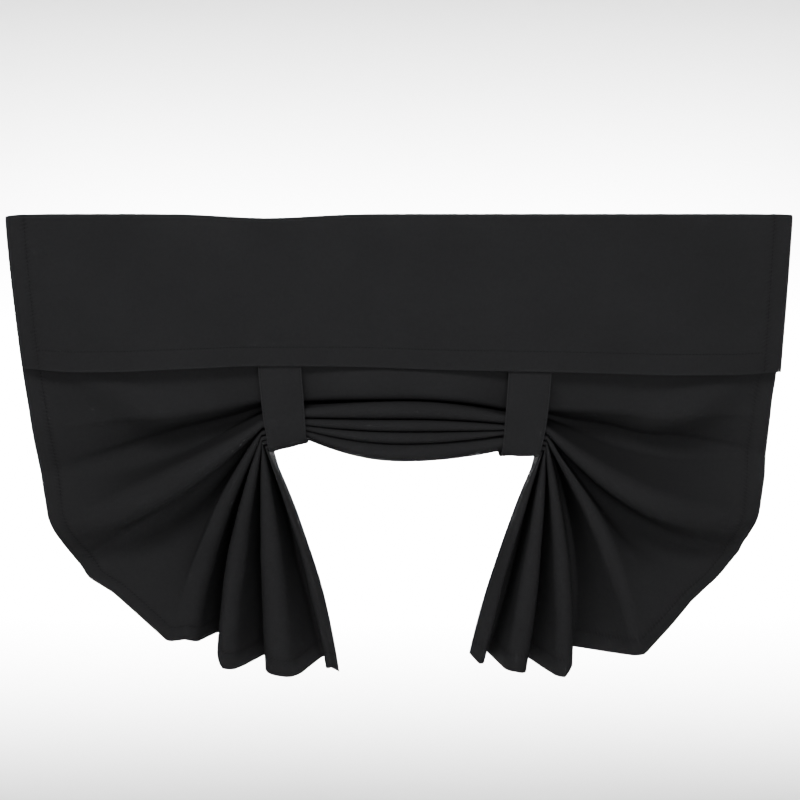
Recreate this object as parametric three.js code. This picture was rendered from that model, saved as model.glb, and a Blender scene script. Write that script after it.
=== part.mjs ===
// Blackout curtain panel, tied up in two places, in millimetres.
// The front faces -Y, up is +Z. The origin is the middle of the fold along the top edge.
import * as THREE from "three";

// Driving sizes
const CLOTH = 1.0;
const BAND_CLOTH = 1.2;
const TURN = 5;
const FINISH = { colour: 0x252525, roughness: 0.9 };

// Columns of cells across each part of the width, and rows of cells along each part of the length
const ACROSS = { fan: 12, band: 3, swag: 7 };
const ROWS = { flap: 5, fold: 4, drop: 6, hem: 3 };
const BASE_STEPS = 10;

// The fold line along the top edge. It dips near the left band and at both ends.
const TOP = { level: -0.5, dip: 6.2, dipAt: -195, dipWide: 90, corner: 4, cornerWide: 22 };

// Where the cloth's lines lie at the top edge and where they are gathered in the bands
const LINES = {
  leftRim: { top: -585.5, low: -585.5 },
  leftOut: { top: -212, low: -202 },
  leftIn: { top: -148, low: -140 },
  rightIn: { top: 172, low: 152 },
  rightOut: { top: 238, low: 217.5 },
  rightRim: { top: 586.5, low: 586.5 },
};
const GATHER = { low: -360, power: 4 };

// How the flap's side moves in and its face moves out on the way down, as powers of the way
const FLAP_HANG = { inwards: 1.5, outwards: 1.6 };

// Share of the way down to the pleats after which the panel bulges towards the front
const BULGE_FROM = 0.7;

// Fan columns lie a little closer together at the side edge than at the band, by this power
const FAN_EVEN = 0.9;

// Lower edge of the turned-down flap: x, z and distance in front of the panel
const FLAP_EDGE = [
  [-573, -232.5, 14],
  [-490, -237.3, 24],
  [-437, -236.8, 25],
  [-331, -233.5, 19],
  [-215, -229, 18],
  [-89, -229.8, 17],
  [100, -235.4, 18],
  [200, -237, 19],
  [304, -239.5, 21],
  [426, -241.8, 25],
  [502, -241.4, 25],
  [582, -238.5, 14],
];

// Side edge of the cloth on the left, top to corner: x, z
const LEFT_EDGE = [
  [-585.5, 0],
  [-585.2, -72.6],
  [-582.6, -153],
  [-576.4, -242.7],
  [-570.6, -297.6],
  [-564.8, -356.4],
  [-557.8, -416.4],
  [-548.5, -471.1],
  [-528.5, -518.5],
  [-515, -549],
  [-496, -579],
  [-457, -600.5],
  [-413, -636.5],
  [-366.5, -675],
  [-338, -669],
  [-290, -690],
  [-281, -714],
  [-250, -723],
  [-217, -726],
  [-189, -728],
  [-158, -735],
  [-123, -726],
  [-108, -720],
  [-95.5, -730],
];

// Side edge of the cloth on the right, top to corner: x, z
const RIGHT_EDGE = [
  [586.5, 0],
  [587.9, -72.6],
  [587, -153],
  [579.2, -242.7],
  [574.6, -285],
  [572.8, -348.4],
  [571, -405.1],
  [565, -445],
  [554, -510],
  [545, -535],
  [512, -574.5],
  [467.5, -613],
  [435, -651],
  [393, -696],
  [343.8, -705],
  [291, -713.5],
  [276, -718],
  [265, -731],
  [207, -729],
  [186, -722],
  [142, -718],
  [128.5, -715],
  [112.5, -699],
];

// One row per fold line, from the panel down to the lower hem: which way it turns (1 front,
// -1 back), distance down the left edge, height at the left band outside and inside, at the
// middle, at the right band inside and outside, and distance down the right edge.
const PLACE = [
  ["panel", 1, 330, -280, -279, -268.5, -292, -293, 305],
  ["back 1", -1, 405, -304, -290.5, -289, -300.5, -316, 372],
  ["front 1", 1, 488, -317, -300, -297.2, -309.5, -326, 462],
  ["back 2", -1, 570, -325.5, -308, -310.8, -317.5, -333, 533],
  ["front 2", 1, 783, -330.5, -313, -320.1, -321.7, -338, 768],
  ["back 3", -1, 836, -335, -318, -329.4, -325.9, -342.5, 870],
  ["front 3", 1, 864, -339, -322, -338.7, -330.2, -346.5, 897],
  ["back 4", -1, 928, -342.5, -325.8, -348.1, -334.5, -350.5, 955],
  ["front 4", 1, 957, -346, -329.5, -361.8, -346.5, -354.5, 977],
  ["back 5", -1, 1024, -349.5, -333.2, -367, -355.5, -358, 1021],
  ["front 5", 1, 1040, -353, -337, -377.5, -362, -361.5, 1035],
  ["hem", 0, 1056, -356, -341, -380.5, -365, -364.5, 1057],
];

// Distance behind the panel's plane of each fold line: left rim, left fan middle, left band
// outside and inside, middle, right band inside and outside, right fan middle, right rim.
const DEPTH = [
  [-1, 0, -2, -6, -20, -6, -2, 0, -1],
  [5, 20, 40, 44, 44, 44, 40, 30, 4],
  [-12, -36, -32, -32, -30, -32, -32, -34, -12],
  [20, 34, 46, 48, 48, 48, 46, 38, 24],
  [-20, -24, -33, -34, -33, -34, -33, -26, -16],
  [58, 58, 48, 48, 48, 48, 48, 60, 60],
  [-28, -34, -34, -34, -35, -34, -34, -34, -26],
  [54, 54, 48, 48, 48, 48, 48, 54, 54],
  [-28, -34, -34, -34, -36, -34, -34, -34, -26],
  [46, 46, 46, 46, 46, 46, 46, 46, 46],
  [-12, -22, -31, -32, -12, -8, -31, -20, -8],
  [-6, -10, 0, 20, 22, 22, 0, -8, -2],
];

// Radius of each fold line, at the same places
const RADIUS = [
  [50, 30, 10, 8, 14, 8, 10, 30, 50],
  [50, 18, 4, 4, 4, 4, 5, 14, 50],
  [40, 30, 6, 6.5, 13, 6.5, 6, 32, 40],
  [36, 18, 3.2, 4, 5, 3.6, 3.4, 16, 30],
  [24, 18, 3.2, 4.3, 8.2, 3.6, 3.3, 17, 22],
  [8, 6, 3.2, 3.4, 5, 3.4, 3.4, 7, 10],
  [24, 17, 2.8, 3.1, 8.3, 3.1, 2.7, 13, 20],
  [6, 5, 2.8, 3, 5, 3.4, 3, 5, 6],
  [26, 18, 2.8, 3, 13.2, 10, 2.7, 13, 20],
  [6, 5, 2.8, 3, 4, 4, 2.9, 5, 6],
  [9, 8, 2.8, 3, 3, 3, 2.8, 7, 8],
  [0, 0, 0, 0, 0, 0, 0, 0, 0],
];

// How far each fold line hangs off the straight line from band to rim: left x and z, right x and z.
// Then how far to the right it lies of the others at the left and at the right band's outer edge.
const SAG = [
  [0, 0, 0, 0, 0, 0],
  [0, -8, 0, -14, -1, 1],
  [0, -22, 0, -44, -2, 2],
  [0, -34, 0, -72, -3, 3],
  [-22, -4, 24, -4, -4, 4],
  [-14, 0, 22, 0, -5, 5],
  [-10, 0, 9, 0, -5, 5],
  [-2, 0, 4, 0, -4.5, 5],
  [0, 0, 3, 0, -5, 5.5],
  [2, 0, 4, 0, -3.5, 4],
  [11, 0, -5, 0, -0.3, 1],
  [16, 0, -10, 0, 1, 0],
];

const NO_SLIP = SAG.map(() => 0);

// Cells between one fold line and the next: on the first curve, on the straight run, on the next curve
const BETWEEN = [
  [2, 1, 2],
  [2, 2, 2],
  [2, 1, 2],
  [2, 3, 2],
  [2, 2, 2],
  [2, 1, 2],
  [2, 1, 2],
  [2, 1, 2],
  [2, 1, 2],
  [2, 1, 2],
];

// Least part of its even share, and most of the whole length, that a curve's cells cover
const CURVE_LEAST = 0.6;
const CURVE_MOST = 0.45;

// The bands' path from the top in front, under the bundle and up the back: distance behind the
// panel's plane, height at the left band outside and inside, at the right band inside and outside,
// x of the middle of the left and right band, width
const BAND_PATH = [
  [-1.4, -13, -13, -13, -13, -184, 204, 66],
  [-1.4, -38, -38, -38, -38, -184, 204, 66],
  [-4.5, -95, -95, -95, -95, -184, 204, 66],
  [-8, -160, -160, -160, -160, -183.5, 203.5, 66],
  [-12.5, -225, -225, -225, -225, -181.5, 201, 66],
  [-27, -276, -272, -276, -280, -177, 196.5, 65],
  [-37.3, -312, -300, -308, -318, -173.5, 192.5, 62.5],
  [-38.5, -334, -321, -336, -342, -171, 189.5, 60],
  [-37, -350, -336.5, -356, -358, -170, 186.5, 58.5],
  [-26, -361, -346, -367, -367.2, -167.8, 183.2, 56.5],
  [-5, -363, -348.5, -369, -369.2, -167.4, 182.5, 56.5],
  [22, -362.2, -348, -368.5, -368.7, -167.4, 182.5, 56.5],
  [44, -356.5, -343, -363.5, -364, -168, 183, 56.5],
  [53, -340, -328, -346, -348, -169, 184.5, 56.5],
  [53, -319, -306, -318, -324, -170, 186.5, 56.5],
  [48.5, -292, -282, -288, -297, -172, 189, 58.5],
  [39, -240, -234, -238, -241, -175, 193, 60],
  [21, -140, -140, -140, -140, -180, 199, 63],
  [7, -70, -70, -70, -70, -183, 203, 65],
  [1.4, -38, -38, -38, -38, -184, 204, 66],
  [1.4, -13, -13, -13, -13, -184, 204, 66],
];
const BAND_CELLS = { along: 2, across: 3 };

const mix = (a, b, t) => a + (b - a) * t;

// Smooth line through a list of values at 0, 1, 2 and so on, without overshoot
function through(values, at) {
  const last = values.length - 1;
  const k = Math.max(0, Math.min(last - 1, Math.floor(at)));
  const t = at - k;
  const slope = (i) => {
    if (i === 0 || i === last) {
      return 0;
    }
    const before = values[i] - values[i - 1];
    const after = values[i + 1] - values[i];
    return before * after <= 0 ? 0 : (2 * before * after) / (before + after);
  };
  const ends = [values[k], values[k + 1]];
  const slopes = [k === 0 ? ends[1] - ends[0] : slope(k), slope(k + 1)];
  if (k + 1 === last) {
    slopes[1] = ends[1] - ends[0];
  }
  const t2 = t * t;
  const t3 = t2 * t;
  return (2 * t3 - 3 * t2 + 1) * ends[0] + (t3 - 2 * t2 + t) * slopes[0]
    + (3 * t2 - 2 * t3) * ends[1] + (t3 - t2) * slopes[1];
}

// Value of column `col` in rows sorted by their first number
function lookUp(rows, at, col) {
  let k = 0;
  while (k < rows.length - 2 && at > rows[k + 1][0]) {
    k += 1;
  }
  const t = (at - rows[k][0]) / (rows[k + 1][0] - rows[k][0]);
  return through(rows.map((row) => row[col]), k + Math.max(0, Math.min(1, t)));
}

// A polyline with its running length, and the point at a given length
function measured(points) {
  const run = [0];
  for (let k = 1; k < points.length; k += 1) {
    const step = Math.hypot(points[k][0] - points[k - 1][0], points[k][1] - points[k - 1][1]);
    run.push(run[k - 1] + step);
  }
  return { points, run };
}

function pointAt(line, length) {
  const { points, run } = line;
  let k = 0;
  while (k < run.length - 2 && length > run[k + 1]) {
    k += 1;
  }
  const t = (length - run[k]) / (run[k + 1] - run[k]);
  return [mix(points[k][0], points[k + 1][0], t), mix(points[k][1], points[k + 1][1], t)];
}

function topHeight(x) {
  const dip = TOP.dip * Math.exp(-(((x - TOP.dipAt) / TOP.dipWide) ** 2));
  const left = TOP.corner * Math.exp(-(x - LINES.leftRim.top) / TOP.cornerWide);
  const right = TOP.corner * Math.exp(-(LINES.rightRim.top - x) / TOP.cornerWide);
  return TOP.level - dip - left - right / 2;
}

// Quadratic through the values at the rim, half way and at the band
function threeWay(rim, half, band, t) {
  const a = 2 * (t - 0.5) * (t - 1);
  const b = -4 * t * (t - 1);
  const c = 2 * t * (t - 0.5);
  return a * rim + b * half + c * band;
}

// The gathered line at one place of the width: x against height
function gatheredX(line, z) {
  return mix(line.top, line.low, Math.min(1, (z / GATHER.low) ** GATHER.power));
}

// A column of the cloth: where its base line runs and how deep and round each fold is there
function fanColumn(side, t) {
  const left = side === "left";
  const edge = measured(left ? LEFT_EDGE : RIGHT_EDGE);
  const line = left ? LINES.leftOut : LINES.rightOut;
  const rim = left ? LINES.leftRim : LINES.rightRim;
  const arcs = PLACE.map((row) => row[left ? 2 : 8]);
  const heights = PLACE.map((row) => row[left ? 3 : 7]);
  const sagX = SAG.map((row) => row[left ? 0 : 2]);
  const sagZ = SAG.map((row) => row[left ? 1 : 3]);
  const slip = SAG.map((row) => row[left ? 4 : 5]);
  const pick = left ? [0, 1, 2] : [8, 7, 6];
  const top = mix(rim.top, line.top, t);
  const start = TURN - topHeight(top);
  const swing = 4 * t * (1 - t);
  return {
    top,
    start,
    base: (q) => {
      const onRim = pointAt(edge, through([start, ...arcs], q));
      const z = through([-start, ...heights], q);
      const sag = [through([0, ...sagX], q) * swing, through([0, ...sagZ], q) * swing];
      const held = gatheredX(line, z) + through([0, ...slip], q);
      return [mix(onRim[0], held, t) + sag[0], mix(onRim[1], z, t) + sag[1]];
    },
    depth: DEPTH.map((row) => threeWay(row[pick[0]], row[pick[1]], row[pick[2]], t)),
    radius: RADIUS.map((row) => threeWay(row[pick[0]], row[pick[1]], row[pick[2]], t)),
  };
}

function straightColumn(lineA, lineB, cols, t, weight, slip = NO_SLIP) {
  const top = mix(lineA.top, lineB.top, t);
  const low = mix(lineA.low, lineB.low, t);
  const start = TURN - topHeight(top);
  const heights = PLACE.map((row) => mix(row[cols.place[0]], row[cols.place[1]], weight));
  return {
    top,
    start,
    base: (q) => {
      const z = through([-start, ...heights], q);
      return [gatheredX({ top, low }, z) + through([0, ...slip], q), z];
    },
    depth: DEPTH.map((row) => mix(row[cols.size[0]], row[cols.size[1]], weight)),
    radius: RADIUS.map((row) => mix(row[cols.size[0]], row[cols.size[1]], weight)),
  };
}

// All columns from the left side edge to the right side edge
function columns() {
  const list = [];
  for (let k = 0; k < ACROSS.fan; k += 1) {
    list.push(fanColumn("left", (k / ACROSS.fan) ** FAN_EVEN));
  }
  const bandL = { place: [3, 4], size: [2, 3] };
  for (let k = 0; k < ACROSS.band; k += 1) {
    const t = k / ACROSS.band;
    const slip = SAG.map((row) => row[4] * (1 - t));
    list.push(straightColumn(LINES.leftOut, LINES.leftIn, bandL, t, t, slip));
  }
  for (let k = 0; k <= ACROSS.swag; k += 1) {
    const t = k / ACROSS.swag;
    const away = (2 * t - 1) ** 2;
    const cols = t < 0.5 ? { place: [5, 4], size: [4, 3] } : { place: [5, 6], size: [4, 5] };
    list.push(straightColumn(LINES.leftIn, LINES.rightIn, cols, t, away));
  }
  const bandR = { place: [6, 7], size: [5, 6] };
  for (let k = 1; k < ACROSS.band; k += 1) {
    const t = k / ACROSS.band;
    const slip = SAG.map((row) => row[5] * t);
    list.push(straightColumn(LINES.rightIn, LINES.rightOut, bandR, t, t, slip));
  }
  for (let k = ACROSS.fan; k >= 0; k -= 1) {
    list.push(fanColumn("right", (k / ACROSS.fan) ** FAN_EVEN));
  }
  return list;
}

// Straight runs that touch each round fold in turn, alternating front and back.
// `heading` is the angle of the run that leaves fold k.
function headings(folds) {
  const out = [];
  for (let k = 0; k < folds.length - 1; k += 1) {
    const a = folds[k];
    const b = folds[k + 1];
    const across = [b.s - a.s, b.y + b.way * b.r - a.y - a.way * a.r];
    const gap = Math.hypot(...across);
    const lean = (b.way * b.r - a.way * a.r) / gap;
    out.push(Math.atan2(across[1], across[0]) - Math.asin(Math.max(-1, Math.min(1, lean))));
  }
  return out;
}

// Point on fold k where the cloth heads at the given angle
function onFold(fold, angle) {
  const away = fold.way * fold.r;
  return [fold.s + away * Math.sin(angle), fold.y + away - away * Math.cos(angle)];
}

// Points from the crest of fold a to the crest of fold b, shared out by the three cell counts
function crestToCrest(a, b, heading, cells) {
  const leave = onFold(a, heading);
  const meet = onFold(b, heading);
  const arcA = a.r * Math.abs(heading);
  const arcB = b.r * Math.abs(heading);
  const straight = Math.hypot(meet[0] - leave[0], meet[1] - leave[1]);
  const whole = arcA + straight + arcB;
  const count = cells[0] + cells[1] + cells[2];
  const even = [whole * cells[0] / count, whole * cells[2] / count];
  const first = Math.min(Math.max(arcA, CURVE_LEAST * even[0]), whole * CURVE_MOST);
  const lastPart = Math.min(Math.max(arcB, CURVE_LEAST * even[1]), whole * CURVE_MOST);
  const middle = whole - first - lastPart;
  const stops = [];
  for (let k = 1; k <= cells[0]; k += 1) {
    stops.push(first * k / cells[0]);
  }
  for (let k = 1; k <= cells[1]; k += 1) {
    stops.push(first + middle * k / cells[1]);
  }
  for (let k = 1; k <= cells[2]; k += 1) {
    stops.push(first + middle + lastPart * k / cells[2]);
  }
  const turn = Math.sign(heading);
  return stops.map((stop) => {
    if (stop < arcA) {
      return onFold(a, turn * stop / a.r);
    }
    if (stop <= arcA + straight) {
      const t = (stop - arcA) / straight;
      return [mix(leave[0], meet[0], t), mix(leave[1], meet[1], t)];
    }
    return onFold(b, turn * Math.max(0, whole - stop) / Math.max(b.r, 1e-6));
  });
}

// The panel's section in one column: distance along the base line and depth, row by row
function sectionOf(column, line, knots) {
  const folds = PLACE.map((row, k) => ({
    s: line.run[knots[k]],
    y: column.depth[k],
    r: column.radius[k],
    way: row[1],
  }));
  const angle = headings(folds);
  const points = [[0, 0]];
  for (let k = 1; k <= ROWS.drop; k += 1) {
    const t = k / ROWS.drop;
    const late = Math.max(0, (t - BULGE_FROM) / (1 - BULGE_FROM));
    points.push([folds[0].s * t, folds[0].y * late * late * (3 - 2 * late)]);
  }
  for (let k = 0; k < BETWEEN.length; k += 1) {
    points.push(...crestToCrest(folds[k], folds[k + 1], angle[k], BETWEEN[k]));
  }
  const lastFold = folds[BETWEEN.length];
  const hem = { ...folds[BETWEEN.length + 1], r: 0 };
  points.push(...crestToCrest(lastFold, hem, angle[BETWEEN.length], [2, ROWS.hem - 2, 0]));
  return points;
}

// Middle of the cloth's thickness down one column, from the flap's lower edge over the top fold
function columnPoints(column) {
  const { top } = column;
  const crown = topHeight(top);
  const share = (top - LINES.leftRim.top) / (LINES.rightRim.top - LINES.leftRim.top);
  const lowX = mix(FLAP_EDGE[0][0], FLAP_EDGE[FLAP_EDGE.length - 1][0], share);
  const lowZ = lookUp(FLAP_EDGE, lowX, 1);
  const lowY = -lookUp(FLAP_EDGE, lowX, 2);
  const points = [];
  for (let k = 0; k < ROWS.flap; k += 1) {
    const t = 1 - k / ROWS.flap;
    const x = mix(top, lowX, t ** FLAP_HANG.inwards);
    const y = mix(-2 * TURN, lowY, t ** FLAP_HANG.outwards);
    points.push([x, y, mix(crown - TURN, lowZ, t)]);
  }
  for (let k = 0; k < ROWS.fold; k += 1) {
    const a = Math.PI * k / ROWS.fold;
    points.push([top, -TURN - TURN * Math.cos(a), crown - TURN + TURN * Math.sin(a)]);
  }
  const count = PLACE.length * BASE_STEPS;
  const base = [];
  for (let k = 0; k <= count; k += 1) {
    base.push(column.base(k / BASE_STEPS));
  }
  const line = measured(base);
  const knots = PLACE.map((row, k) => (k + 1) * BASE_STEPS);
  for (const [s, y] of sectionOf(column, line, knots)) {
    const [x, z] = pointAt(line, s);
    points.push([x, y, z]);
  }
  return points;
}

// A closed sheet of the given thickness about a grid of middle points
function sheet(grid, thick) {
  const wide = grid.length;
  const long = grid[0].length;
  const at = (i, j) => new THREE.Vector3(...grid[i][j]);
  const spots = [];
  for (const half of [0.5, -0.5]) {
    for (let i = 0; i < wide; i += 1) {
      for (let j = 0; j < long; j += 1) {
        const du = at(Math.min(i + 1, wide - 1), j).sub(at(Math.max(i - 1, 0), j));
        const dv = at(i, Math.min(j + 1, long - 1)).sub(at(i, Math.max(j - 1, 0)));
        const out = du.cross(dv).normalize().multiplyScalar(half * thick);
        spots.push(...at(i, j).add(out).toArray());
      }
    }
  }
  const id = (face, i, j) => face * wide * long + i * long + j;
  const cells = [];
  const quad = (a, b, c, d) => {
    cells.push(a, b, c, a, c, d);
  };
  for (let i = 0; i < wide - 1; i += 1) {
    for (let j = 0; j < long - 1; j += 1) {
      quad(id(0, i, j), id(0, i + 1, j), id(0, i + 1, j + 1), id(0, i, j + 1));
      quad(id(1, i, j), id(1, i, j + 1), id(1, i + 1, j + 1), id(1, i + 1, j));
    }
  }
  for (let i = 0; i < wide - 1; i += 1) {
    quad(id(0, i + 1, 0), id(0, i, 0), id(1, i, 0), id(1, i + 1, 0));
    quad(id(0, i, long - 1), id(0, i + 1, long - 1), id(1, i + 1, long - 1), id(1, i, long - 1));
  }
  for (let j = 0; j < long - 1; j += 1) {
    quad(id(0, 0, j), id(0, 0, j + 1), id(1, 0, j + 1), id(1, 0, j));
    quad(id(0, wide - 1, j + 1), id(0, wide - 1, j), id(1, wide - 1, j), id(1, wide - 1, j + 1));
  }
  const body = new THREE.BufferGeometry();
  body.setAttribute("position", new THREE.Float32BufferAttribute(spots, 3));
  body.setIndex(cells);
  body.computeVertexNormals();
  return body;
}

function panel() {
  const body = sheet(columns().map(columnPoints), CLOTH);
  body.translate(0, TURN, 0);
  return body;
}

// A band: a flat loop strip, open at the top, with its middle line leaning as it hangs
function band(side) {
  const [colA, colB, colX] = side === "left" ? [1, 2, 5] : [3, 4, 6];
  const last = BAND_PATH.length - 1;
  const value = (col, q) => through(BAND_PATH.map((row) => row[col]), q);
  const [colDepth, colWidth] = [0, 7];
  const grid = [];
  for (let i = 0; i <= BAND_CELLS.across; i += 1) {
    const share = i / BAND_CELLS.across;
    const path = [];
    for (let j = 0; j <= last * BAND_CELLS.along; j += 1) {
      const q = j / BAND_CELLS.along;
      const x = value(colX, q) + (share - 0.5) * value(colWidth, q);
      path.push([x, value(colDepth, q), mix(value(colA, q), value(colB, q), share)]);
    }
    grid.push(path);
  }
  const body = sheet(grid, BAND_CLOTH);
  body.translate(0, TURN, 0);
  return body;
}

function piece(name, body) {
  const { colour, roughness } = FINISH;
  const cloth = new THREE.MeshStandardMaterial({ color: colour, roughness, metalness: 0 });
  const mesh = new THREE.Mesh(body, cloth);
  mesh.name = name;
  return mesh;
}

const curtain = new THREE.Group();
curtain.name = "curtain";
curtain.add(piece("panel", panel()));
curtain.add(piece("band_left", band("left")));
curtain.add(piece("band_right", band("right")));
export default curtain;
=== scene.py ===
"""Looks of a blackout curtain panel that is tied up in two places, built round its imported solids."""
import math

import bpy
import numpy as np
from bpy.props import FloatProperty, FloatVectorProperty, PointerProperty
from bpy.types import Operator, Panel, PropertyGroup
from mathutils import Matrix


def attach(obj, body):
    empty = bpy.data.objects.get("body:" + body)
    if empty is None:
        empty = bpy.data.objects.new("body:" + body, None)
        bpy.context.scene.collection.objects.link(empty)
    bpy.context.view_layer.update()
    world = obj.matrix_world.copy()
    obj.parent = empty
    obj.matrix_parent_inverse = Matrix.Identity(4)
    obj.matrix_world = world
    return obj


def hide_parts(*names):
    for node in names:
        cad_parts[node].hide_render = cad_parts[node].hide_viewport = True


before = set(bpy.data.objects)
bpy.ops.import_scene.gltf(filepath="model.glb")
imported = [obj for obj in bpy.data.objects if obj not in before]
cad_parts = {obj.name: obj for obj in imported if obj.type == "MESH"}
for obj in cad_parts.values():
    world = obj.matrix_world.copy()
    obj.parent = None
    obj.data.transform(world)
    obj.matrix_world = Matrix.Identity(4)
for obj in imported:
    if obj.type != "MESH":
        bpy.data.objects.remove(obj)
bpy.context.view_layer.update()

bl_info = {
    "name": "Tied-up blackout curtain",
    "version": (1, 0, 0),
    "blender": (4, 5, 0),
    "location": "View3D > Sidebar > Curtain",
    "description": "Makes the cloth, bands, stitching and studio of a tied-up blackout curtain",
    "category": "Object",
}

# One millimetre in metres: shapes are worked out in millimetres
MM = 0.001
# Radius of the turn over the top edge, at the middle of the cloth's thickness
TURN = 5.0

# Height of the fold line along the top edge, and its dip near the left band and droop at both ends
TOP = {
    "level": -0.5,
    "dip": 6.2,
    "dip_at": -195.0,
    "dip_wide": 90.0,
    "left_corner": 4.0,
    "right_corner": 2.0,
    "corner_wide": 22.0,
}

# Where the cloth's lines lie at the top edge and in the bands: top x, gathered x
LINES = {
    "left_rim": (-585.5, -585.5),
    "left_out": (-212.0, -202.0),
    "left_in": (-148.0, -140.0),
    "right_in": (172.0, 152.0),
    "right_out": (238.0, 217.5),
    "right_rim": (586.5, 586.5),
}
# Height at which a line of the cloth has reached its gathered place
GATHER = -360.0

# Lower edge of the flap: x, z, distance in front of the panel
FLAP_EDGE = np.array([
    (-573, -232.5, 14), (-490, -237.3, 24), (-437, -236.8, 25), (-331, -233.5, 19),
    (-215, -229, 18), (-89, -229.8, 17), (100, -235.4, 18), (200, -237, 19),
    (304, -239.5, 21), (426, -241.8, 25), (502, -241.4, 25), (582, -238.5, 14),
], float)

# Side edges of the cloth, top to corner: x, z
LEFT_EDGE = np.array([
    (-585.5, 0), (-585.2, -72.6), (-582.6, -153), (-576.4, -242.7), (-570.6, -297.6), (-564.8, -356.4),
    (-557.8, -416.4), (-548.5, -471.1), (-528.5, -518.5), (-515, -549), (-496, -579),
    (-457, -600.5), (-413, -636.5), (-366.5, -675), (-338, -669), (-290, -690), (-281, -714),
    (-250, -723), (-217, -726), (-189, -728), (-158, -735), (-123, -726), (-108, -720), (-95.5, -730),
], float)
RIGHT_EDGE = np.array([
    (586.5, 0), (587.9, -72.6), (587, -153), (579.2, -242.7), (574.6, -285), (572.8, -348.4),
    (571, -405.1), (565, -445), (554, -510), (545, -535), (512, -574.5), (467.5, -613),
    (435, -651), (393, -696), (343.8, -705), (291, -713.5), (276, -718), (265, -731),
    (207, -729), (186, -722), (142, -718), (128.5, -715), (112.5, -699),
], float)

# One row per fold line: way it turns (1 front, -1 back), distance down the left edge, height at
# the left band outside and inside, at the middle, at the right band inside and outside, and
# distance down the right edge
PLACE = np.array([
    (1, 330, -280, -279, -268.5, -292, -293, 305),
    (-1, 405, -304, -290.5, -289, -300.5, -316, 372),
    (1, 488, -317, -300, -297.2, -309.5, -326, 462),
    (-1, 570, -325.5, -308, -310.8, -317.5, -333, 533),
    (1, 783, -330.5, -313, -320.1, -321.7, -338, 768),
    (-1, 836, -335, -318, -329.4, -325.9, -342.5, 870),
    (1, 864, -339, -322, -338.7, -330.2, -346.5, 897),
    (-1, 928, -342.5, -325.8, -348.1, -334.5, -350.5, 955),
    (1, 957, -346, -329.5, -361.8, -346.5, -354.5, 977),
    (-1, 1024, -349.5, -333.2, -367, -355.5, -358, 1021),
    (1, 1040, -353, -337, -377.5, -362, -361.5, 1035),
    (0, 1056, -356, -341, -380.5, -365, -364.5, 1057),
], float)

# Distance behind the panel's plane of each fold line: left rim, left fan middle, left band
# outside and inside, middle, right band inside and outside, right fan middle, right rim
DEPTH = np.array([
    (-1, 0, -2, -6, -20, -6, -2, 0, -1),
    (5, 20, 40, 44, 44, 44, 40, 30, 4),
    (-12, -36, -32, -32, -30, -32, -32, -34, -12),
    (20, 34, 46, 48, 48, 48, 46, 38, 24),
    (-20, -24, -33, -34, -33, -34, -33, -26, -16),
    (58, 58, 48, 48, 48, 48, 48, 60, 60),
    (-28, -34, -34, -34, -35, -34, -34, -34, -26),
    (54, 54, 48, 48, 48, 48, 48, 54, 54),
    (-28, -34, -34, -34, -36, -34, -34, -34, -26),
    (46, 46, 46, 46, 46, 46, 46, 46, 46),
    (-12, -22, -31, -32, -12, -8, -31, -20, -8),
    (-6, -10, 0, 20, 22, 22, 0, -8, -2),
], float)

# Radius of each fold line, at the same places
RADIUS = np.array([
    (50, 30, 10, 8, 14, 8, 10, 30, 50),
    (50, 18, 4, 4, 4, 4, 5, 14, 50),
    (40, 30, 6, 6.5, 13, 6.5, 6, 32, 40),
    (36, 18, 3.2, 4, 5, 3.6, 3.4, 16, 30),
    (24, 18, 3.2, 4.3, 8.2, 3.6, 3.3, 17, 22),
    (8, 6, 3.2, 3.4, 5, 3.4, 3.4, 7, 10),
    (24, 17, 2.8, 3.1, 8.3, 3.1, 2.7, 13, 20),
    (6, 5, 2.8, 3, 5, 3.4, 3, 5, 6),
    (26, 18, 2.8, 3, 13.2, 10, 2.7, 13, 20),
    (6, 5, 2.8, 3, 4, 4, 2.9, 5, 6),
    (9, 8, 2.8, 3, 3, 3, 2.8, 7, 8),
    (0, 0, 0, 0, 0, 0, 0, 0, 0),
], float)

# How far each fold line hangs off the straight line from band to rim: left x, z, right x, z. Then
# how far to the right it lies of the others at the left and at the right band's outer edge.
SAG = np.array([
    (0, 0, 0, 0, 0, 0), (0, -8, 0, -14, -1, 1), (0, -22, 0, -44, -2, 2), (0, -34, 0, -72, -3, 3),
    (-22, -4, 24, -4, -4, 4), (-14, 0, 22, 0, -5, 5), (-10, 0, 9, 0, -5, 5), (-2, 0, 4, 0, -4.5, 5),
    (0, 0, 3, 0, -5, 5.5), (2, 0, 4, 0, -3.5, 4), (11, 0, -5, 0, -0.3, 1), (16, 0, -10, 0, 1, 0),
], float)

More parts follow.
